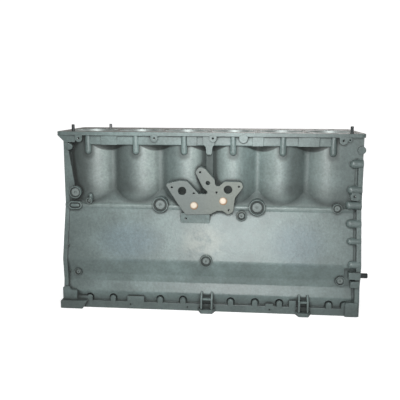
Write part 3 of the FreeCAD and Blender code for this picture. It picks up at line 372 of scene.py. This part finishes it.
def castPaint():
    s = Surface("castPaint")
    v, w, b = paintWork, wallWork, block

    def coat(under, share, name):
        return share.blend(under, linear(*v[name]))

    boreX = b["pitch"] / 2.0 - s.x.fold(b["pitch"] / 2.0)  # distance along X from the nearest cylinder
    boreR = (boreX * boreX + s.y * s.y) ** 0.5
    deck, bore, pad, bare = machinedFaces(s, boreR)
    near = s.y.fall(-66.0, -60.0)
    wall = s.z.rise(176.0, 226.0) * s.z.fall(b["panelTopZ"], b["panelTopZ"] + 3.0) * near
    side = (s.x / w["halves"]).atMost(1.0).atLeast(-1.0)
    besideBores = boreX.rise(46.0, 62.0) * wall
    crownHighlight, paintedShade = flankLightAndShade(s, near, wall, side, besideBores)
    seam, panelAndColumnShadows = paintedShadows(s, near, side, boreX, boreR)
    ring = plugRingShade(s, near)
    # broad drifts, blue patches and a painted highlight on the middle of the crankcase, then painted light and
    # shade on the flanks and the ends, and the rail darker towards its foot
    fine = s.noise(2.4, 3.0, 0.65)
    speck = s.noise(7.5, 3.0, 0.6, shift=3.0)
    blotch = s.noise(30.0, 3.0, 0.6, shift=7.0)
    colour = coat(linear(*v["dark"]), s.noise(150.0, 2.0).rise(0.36, 0.64), "light")
    blue = (s.patch(*v["bluePlaces"][0]) + s.patch(*v["bluePlaces"][1])).atMost(1.0)
    colour = coat(colour, blue * v["blueShare"], "bluePatch")
    # painted highlight: a pale patch where the lamp's reflection lies on the crankcase
    crankcaseHighlight = s.patch(*v["hotSpotPlace"]) * blotch.rise(0.3, 0.6)
    colour = coat(colour, crankcaseHighlight * v["hotSpotShare"], "paintedHotSpot")
    # painted highlight on the ledge above the ramp
    ledgeHighlight = s.z.rise(156.0, 160.0) * s.z.fall(172.0, 184.0) * s.y.fall(-99.0, -94.0) * abs(s.x).fall(385.0, 410.0)
    highlightShare = crownHighlight * (w["crownHighlightShare"] - side * w["crownHighlightChange"]) + ledgeHighlight * w["ledgeHighlightShare"]
    # painted highlight on the crowns, painted shade on the flanks
    colour = coat(colour, highlightShare.atMost(0.8), "crownHighlight")
    colour = coat(colour, paintedShade * v["paintedShadeShare"], "paintedShade")
    # painted shade: the near side darker towards both ends
    colour = coat(colour, abs(s.x).rise(190.0, 460.0) * near * v["endsShadeShare"], "paintedShade")
    # the near rail darker towards its foot, in the same dark tone
    colour = coat(colour, s.z.fall(-128.0, -98.0) * near * v["railShare"], "paintedShade")
    mottle = (speck - 0.5) * 0.8 + (fine - 0.5) * 0.4 + (blotch - 0.5) * 0.45 + 1.0
    colour = mottle.shade(colour)
    # bare iron, bore steel and the cooler pad
    metal = coat(linear(*v["deckBrown"]), s.noise(11.0, 3.0, 0.6, shift=5.0).rise(0.35, 0.7), "machined")
    metal = coat(metal, bore, "boreSteel")
    padTone = coat(linear(*v["padGrey"]), s.x.rise(-60.0, 60.0), "padWarm")
    metal = pad.blend(metal, ((speck - 0.5) * 0.3 + 1.0).shade(padTone))
    anyBare = (bare + pad).atMost(1.0)
    colour = anyBare.blend(colour, metal)
    # edges rubbed pale with a painted highlight; painted shade in corners and hollows, and painted shadows under
    # the panel and round the columns
    # pale edges: wear, and a painted highlight where edges catch the light
    wearAndHighlight = s.closed(v["edgeReach"], True).rise(0.34, 0.6) * blotch.rise(0.42, 0.6)
    colour = coat(colour, wearAndHighlight * v["edgeShare"], "edge")
    gutter = s.x.between(404.0, 438.0, 2.0) * near
    kept = 1.0 - (seam * 0.6 + besideBores * 0.7 + gutter * 0.5).atMost(0.8)
    # painted shade in corners and hollows
    crevice = s.closed(v["crevice"]).rise(0.12, 0.48)
    hollow = s.closed(v["hollow"]).rise(0.15, 0.7)
    paintedShadowShare = (crevice * kept * v["creviceShadeShare"] + hollow * kept * v["hollowShadeShare"] + panelAndColumnShadows).atMost(0.92)
    colour = coat(colour, paintedShadowShare, "paintedDeepShade")
    # painted shade in the recess round each plug
    colour = coat(colour, ring * w["ring"], "paintedDeepShade")
    rounded = s.start.make("ShaderNodeBevel", {"samples": 4}, {0: v["rounding"]})
    grain = s.bump(s.noise(v["grit"], 3.0, 0.6), v["gritDepth"], 0.7, rounded)
    lump = s.bump(s.noise(v["lump"], 2.0, 0.5, shift=2.0), v["lumpDepth"], 0.6, grain)
    rough = v["roughness"] + paintedShade * 0.3 + (paintedShadowShare * 0.35).atLeast(ring * 0.5) + (speck - 0.5) * 0.14 - crownHighlight * 0.05
    rough = s.start.make("ShaderNodeMix", {"data_type": "FLOAT"}, {0: anyBare, 2: rough, 3: v["bareRoughness"]})
    return s.finish({
        "Base Color": colour,
        "Roughness": rough,
        "Metallic": bore * 0.7 + deck * 0.15,
        "Specular IOR Level": v["gloss"],
        "Normal": lump,
    })


# Dished brass plugs of the cooler pad: a dark warm rim, partly painted shade, and a pale middle that is a painted
# highlight
brassWork = {
    "rim": (132, 100, 66),
    "middle": (214, 204, 188),
    "plugs": [(-42.0, 171.0), (45.0, 186.0)],
    "reach": 15.0,
    "roughness": 0.48,
    "metallic": 0.3,
}


def pressedBrass():
    s = Surface("pressedBrass")
    v = brassWork
    first, second = [s.patch(x, z, v["reach"], v["reach"]) for x, z in v["plugs"]]
    # painted highlight in the middle of each plug, darker rim round it
    wearAndHighlight = (first + second).atMost(1.0).rise(0.1, 0.9)
    colour = wearAndHighlight.blend(linear(*v["rim"]), linear(*v["middle"]))
    return s.finish({
        "Base Color": ((s.noise(5.0, 3.0, 0.6) - 0.5) * 0.4 + 1.0).shade(colour),
        "Roughness": v["roughness"],
        "Metallic": v["metallic"],
        "Normal": s.bump(s.noise(1.2, 3.0, 0.6), 0.05, 0.7),
    })


metalWork = {
    # screen colour, roughness, metallic, grain size and grain depth in millimetres
    "boltBlack": ((62, 62, 64), 0.42, 0.6, 0.8, 0.03),
    "capIron": ((96, 96, 94), 0.55, 0.35, 1.6, 0.14),
    "bushingMetal": ((176, 172, 160), 0.28, 0.8, 0.8, 0.02),
    "cupSteel": ((132, 136, 132), 0.4, 0.6, 1.6, 0.05),
    "pinSteel": ((104, 106, 106), 0.34, 0.7, 0.8, 0.02),
    "darkPin": ((54, 58, 58), 0.4, 0.6, 0.8, 0.02),
    "plugSteel": ((122, 132, 130), 0.5, 0.1, 1.2, 0.08),
    "threadSteel": ((150, 156, 154), 0.32, 0.7, 0.8, 0.02),
}


def plainMetal(name):
    screen, roughness, metallic, grain, grainDepth = metalWork[name]
    s = Surface(name)
    wear = s.noise(grain * 6.0, 3.0, 0.6) - 0.5
    return s.finish({
        "Base Color": (wear * 0.2 + 1.0).shade(linear(*screen)),
        "Roughness": roughness + wear * 0.2,
        "Metallic": metallic,
        "Normal": s.bump(s.noise(grain, 3.0, 0.6), grainDepth, 0.7),
    })


metals = {name: plainMetal(name) for name in metalWork}
finishBySlot = {
    "cast_paint": castPaint(),
    "plug_brass": pressedBrass(),
    "bolt_steel": metals["boltBlack"],
    "cap_iron": metals["capIron"],
    "bushing_metal": metals["bushingMetal"],
    "cup_steel": metals["cupSteel"],
    "pin_steel": metals["pinSteel"],
    "plug_steel": metals["plugSteel"],
}
slotOfNode = {p["node"]: p["material_slot"] for p in frame["record"]["subparts"]}
print("stage: finishes made")

# Every casting and fitting as a merged copy with smooth curves and crisp edges
skin = {
    "weld": 0.00002,
    "sharpAngle": 28.0,
    "darkPins": ("deck_pin_front", "deck_pin_rear", "rear_dowel_near"),
}


def dress(name):
    mesh = cadNodes[name].data.copy()
    mesh.name = name + "-skin"
    work = bmesh.new()
    work.from_mesh(mesh)
    bmesh.ops.remove_doubles(work, verts=work.verts, dist=skin["weld"])
    work.to_mesh(mesh)
    work.free()
    if "custom_normal" in mesh.attributes:
        mesh.attributes.remove(mesh.attributes["custom_normal"])
    mesh.materials.clear()
    mesh.materials.append(metals["darkPin"] if name in skin["darkPins"] else finishBySlot[slotOfNode[name]])
    mesh.shade_smooth()
    mesh.set_sharp_from_angle(angle=math.radians(skin["sharpAngle"]))
    piece = bpy.data.objects.new(name + "-skin", mesh)
    bpy.context.scene.collection.objects.link(piece)
    even = piece.modifiers.new("evenNormals", "WEIGHTED_NORMAL")
    even.mode = "FACE_AREA"
    even.weight = 100
    even.keep_sharp = True
    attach(piece, "root")
    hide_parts(name)
    return piece


dressed = [dress(name) for name in sorted(cadNodes)]
print("stage: castings dressed,", sum(len(p.data.polygons) for p in dressed), "triangles")

# Screw threads: a helix of bright steel in every tapped hole of the block, grown by one node tree
cylinderX = [-365.0, -219.0, -73.0, 73.0, 219.0, 365.0]
bulkheadX = [-292.0, -146.0, 0.0, 146.0, 292.0]
thread = {
    "turnPoints": 16,
    "pitchShare": 0.30,
    "crestShare": 0.12,
    "start": 1.2,
}
wayIn = {
    "far": (-90.0, 0.0, 0.0),
    "near": (90.0, 0.0, 0.0),
    "down": (180.0, 0.0, 0.0),
    "up": (0.0, 0.0, 0.0),
    "rear": (0.0, 90.0, 0.0),
    "front": (0.0, -90.0, 0.0),
}
tappedHoles = {
    # name: mouths, way in, radius, threaded depth
    "lugThreads": ([(x, -109.4, z) for x, z in ((-392, 367), (-162, 369), (13, 370), (392, 367))], "far", 3.4, 9.0),
    "padThreads": ([(x, -121.0, z) for x, z in (
        (-108, 224), (-42, 207), (-23, 271), (26, 211), (92, 229), (63, 158))], "far", 3.4, 12.0),
    "stepThreads": ([(-66.0, -118.0, 129.0)], "far", 3.4, 12.0),
    "blockThreads": ([(430.0, -117.0, 205.0)], "far", 4.0, 11.0),
    "railThreads": ([(x, y, -150.0) for x in (-361, -288, -142, -72, 73, 146, 219, 365)
                     for y in (-139, 139)], "up", 5.0, 20.0),
    "headThreads": ([(x, y, 387.0) for x in cylinderX for y in (-92, 92)]
                    + [(x, y, 387.0) for x in bulkheadX + [-422.0, 430.0] for y in (-58, 58)], "down", 8.0, 38.0),
    "frontThreads": ([(-440.0, y, z) for y, z in (
        (-92, 352), (-94, 262), (-98, 196), (-112, 112), (-134, 40), (-134, -40), (-134, -112),
        (162, 352), (162, 262), (162, 196), (150, 104), (138, -30), (138, -112))], "rear", 5.0, 15.0),
    "rearThreads": ([(452.0, y, z) for y, z in (
        (-103, 299), (-105, 223), (-109, 178), (-117, 124), (-131, 74), (-147, 8),
        (160, 302), (160, 226), (152, 126), (142, 60), (136, 0), (133, -70))], "front", 5.5, 22.0),
    "pumpThreads": ([(x, 176.0, z) for x in (-358, -210) for z in (220, 278)], "near", 4.2, 13.0),
    "breatherThreads": ([(x, 175.0, z) for x in (210, 286) for z in (210, 248)], "near", 4.2, 13.0),
    "mountThreads": ([(x, 158.0, z) for x in (324, 386) for z in (-46, 6)], "near", 4.2, 13.0),
}


def threadTree():
    tree = bpy.data.node_groups.new("screwThread", "GeometryNodeTree")
    face = tree.interface
    face.new_socket("mouths", in_out="INPUT", socket_type="NodeSocketGeometry")
    kinds = {"radius": "Float", "pitch": "Float", "turns": "Float", "crest": "Float", "turnIn": "Vector"}
    sockets = {name: face.new_socket(name, in_out="INPUT", socket_type="NodeSocket" + kind)
               for name, kind in kinds.items()}
    face.new_socket("threads", in_out="OUTPUT", socket_type="NodeSocketGeometry")
    start = Wire(tree)
    entry = start.make("NodeGroupInput").socket.node
    mouths, radius, pitch, turns, crest, turnIn = [Wire(tree, entry.outputs[k]) for k in range(6)]
    helix = start.make("GeometryNodeCurveSpiral", None, {
        "Resolution": thread["turnPoints"],
        "Rotations": turns,
        "Start Radius": radius,
        "End Radius": radius,
        "Height": pitch * turns,
    })
    ridge = start.make("GeometryNodeCurvePrimitiveCircle", {"mode": "RADIUS"}, {"Resolution": 3, "Radius": crest})
    wound = start.make("GeometryNodeCurveToMesh", None, {"Curve": helix, "Profile Curve": ridge, "Fill Caps": True})
    placed = start.make("GeometryNodeInstanceOnPoints", None, {
        "Points": mouths, "Instance": wound, "Rotation": turnIn,
    })
    solid = start.make("GeometryNodeRealizeInstances", None, {"Geometry": placed})
    coated = start.make("GeometryNodeSetMaterial", None, {"Geometry": solid, "Material": metals["threadSteel"]})
    start.make("NodeGroupOutput", None, {0: coated})
    return tree, sockets


def cutThreads(tree, sockets, name):
    mouths, way, radius, depth = tappedHoles[name]
    turn = Vector([math.radians(a) for a in wayIn[way]])
    inward = Vector((0.0, 0.0, 1.0))
    inward.rotate(Euler(turn))
    pitch = radius * thread["pitchShare"]
    mesh = bpy.data.meshes.new(name)
    mesh.from_pydata([(Vector(m) + inward * thread["start"]) / 1000.0 for m in mouths], [], [])
    piece = bpy.data.objects.new(name, mesh)
    bpy.context.scene.collection.objects.link(piece)
    grow = piece.modifiers.new("screwThread", "NODES")
    grow.node_group = tree
    values = {
        "radius": radius / 1000.0,
        "pitch": pitch / 1000.0,
        "turns": (depth - thread["start"]) / pitch,
        "crest": radius * thread["crestShare"] / 1000.0,
        "turnIn": turn,
    }
    for key, value in values.items():
        grow[sockets[key].identifier] = value
    graph = bpy.context.evaluated_depsgraph_get()
    grown = bpy.data.meshes.new_from_object(piece.evaluated_get(graph))
    piece.modifiers.remove(grow)
    piece.data = grown
    if not grown.materials:
        grown.materials.append(metals["threadSteel"])
    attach(piece, "root")
    return piece


screwTree, screwSockets = threadTree()
threads = [cutThreads(screwTree, screwSockets, name) for name in tappedHoles]
print("stage: threads cut,", sum(len(t.data.polygons) for t in threads), "faces")

# Floor and back wall in one sweep that shows white and keeps the shadow
room = {
    "floorSize": 16.0,
    "wallDistance": 5.0,
    "wallHeight": 8.0,
    "bendRadius": 1.5,
    "bendSteps": 12,
    "floorGrey": 0.45,
    "seenGlow": 0.8,
    "whiteFrom": 700.0,  # millimetres from the middle, and white by the next
    "whiteBy": 2400.0,
    "mirrorGlow": 0.3,
    "worldGlow": 0.13,
}


def seenAndMirrored(start):
    # rays that show the room itself, and rays that mirror it
    camera, mirrored, through = [start.make("ShaderNodeLightPath", out=k) for k in (0, 3, 6)]
    return (camera + through).atMost(1.0), mirrored


def paleRoom():
    s = Surface("paleRoom")
    seen, mirrored = seenAndMirrored(s.start)
    far = s.start.make("ShaderNodeVectorMath", {"operation": "LENGTH"}, {0: s.place}, 1)
    far = far.rise(room["whiteFrom"], room["whiteBy"])
    strength = seen * (room["seenGlow"] + far * (1.0 - room["seenGlow"])) + mirrored * room["mirrorGlow"]
    matt = s.start.make("ShaderNodeBsdfDiffuse", None, {0: (room["floorGrey"],) * 3 + (1.0,)})
    glow = s.start.make("ShaderNodeEmission", None, {0: (1.0, 1.0, 1.0, 1.0), 1: strength})
    both = s.start.make("ShaderNodeAddShader", None, {0: matt, 1: glow})
    s.start.make("ShaderNodeOutputMaterial", None, {0: both})
    half, back, bend = room["floorSize"] / 2.0, room["wallDistance"], room["bendRadius"]
    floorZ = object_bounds()[0].z
    profile = [(-half, floorZ), (back - bend, floorZ)]
    for k in range(1, room["bendSteps"] + 1):
        turn = math.radians(90.0 * k / room["bendSteps"])
        profile.append((back - bend + bend * math.sin(turn), floorZ + bend - bend * math.cos(turn)))
    profile.append((back, floorZ + room["wallHeight"]))
    corners = [(x, y, z) for y, z in profile for x in (-half, half)]
    faces = [(2 * k, 2 * k + 1, 2 * k + 3, 2 * k + 2) for k in range(len(profile) - 1)]
    mesh = bpy.data.meshes.new("sweep")
    mesh.from_pydata(corners, [], faces)
    mesh.materials.append(s.material)
    mesh.shade_smooth()
    sweep = bpy.data.objects.new("sweep", mesh)
    bpy.context.scene.collection.objects.link(sweep)
    sweep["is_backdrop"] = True


def paleWorld():
    world = bpy.data.worlds.new("paleWorld")
    world.use_nodes = True
    world.node_tree.nodes.clear()
    start = Wire(world.node_tree)
    seen, mirrored = seenAndMirrored(start)
    plain = room["worldGlow"]
    level = seen * (1.0 - plain) + mirrored * (room["mirrorGlow"] - plain) + plain
    sky = start.make("ShaderNodeBackground", None, {0: (1.0, 1.0, 1.0, 1.0), 1: level})
    start.make("ShaderNodeOutputWorld", None, {0: sky})
    bpy.context.scene.world = world


lamps = {
    # name: place, aimed at, watts, width
    "front": ((0.06, -1.7, 0.52), (0.0, -0.1, 0.1), 15.5, 0.16),
    "near": ((0.01, -0.78, 0.80), (0.0, -0.1, 0.12), 4.6, 0.16),
    "leftEnd": ((-2.4, 0.9, 1.0), (-0.4, 0.0, 0.1), 15.0, 1.0),
    "rightEnd": ((2.4, 0.9, 1.0), (0.4, 0.0, 0.1), 15.0, 1.0),
    "behind": ((0.3, 2.0, 2.2), (0.0, 0.1, 0.1), 40.0, 1.0),
}


def addLamp(name):
    place, aim, watts, width = lamps[name]
    data = bpy.data.lights.new(name, "AREA")
    data.energy = watts
    data.size = width
    lamp = bpy.data.objects.new(name, data)
    lamp.location = place
    lamp.rotation_mode = "QUATERNION"
    lamp.rotation_quaternion = (Vector(aim) - Vector(place)).to_track_quat("-Z", "Y")
    lamp.visible_camera = False
    bpy.context.scene.collection.objects.link(lamp)


viewpoint = {
    "place": (0.1125, -1.7233, 0.4767),
    "yaw": -4.84,
    "pitch": 10.19,
    "roll": 0.22,
    "lens": 49.23,
}


def addCamera():
    yaw, pitch, roll = [math.radians(viewpoint[k]) for k in ("yaw", "pitch", "roll")]
    ahead = Vector((math.sin(yaw) * math.cos(pitch), math.cos(yaw) * math.cos(pitch), -math.sin(pitch)))
    side = Vector((math.cos(yaw), -math.sin(yaw), 0.0))
    above = side.cross(ahead)
    right = side * math.cos(roll) + above * math.sin(roll)
    top = above * math.cos(roll) - side * math.sin(roll)
    data = bpy.data.cameras.new("camera")
    data.lens = viewpoint["lens"]
    data.sensor_width = 36.0
    data.clip_start, data.clip_end = 0.05, 60.0
    camera = bpy.data.objects.new("camera", data)
    turn = Matrix((right, top, -ahead)).transposed().to_4x4()
    camera.matrix_world = Matrix.Translation(viewpoint["place"]) @ turn
    bpy.context.scene.collection.objects.link(camera)
    bpy.context.scene.camera = camera


paleRoom()
for name in lamps:
    addLamp(name)
paleWorld()
addCamera()
bpy.context.scene.view_settings.view_transform = "Standard"
print("stage: room, lamps and camera set")
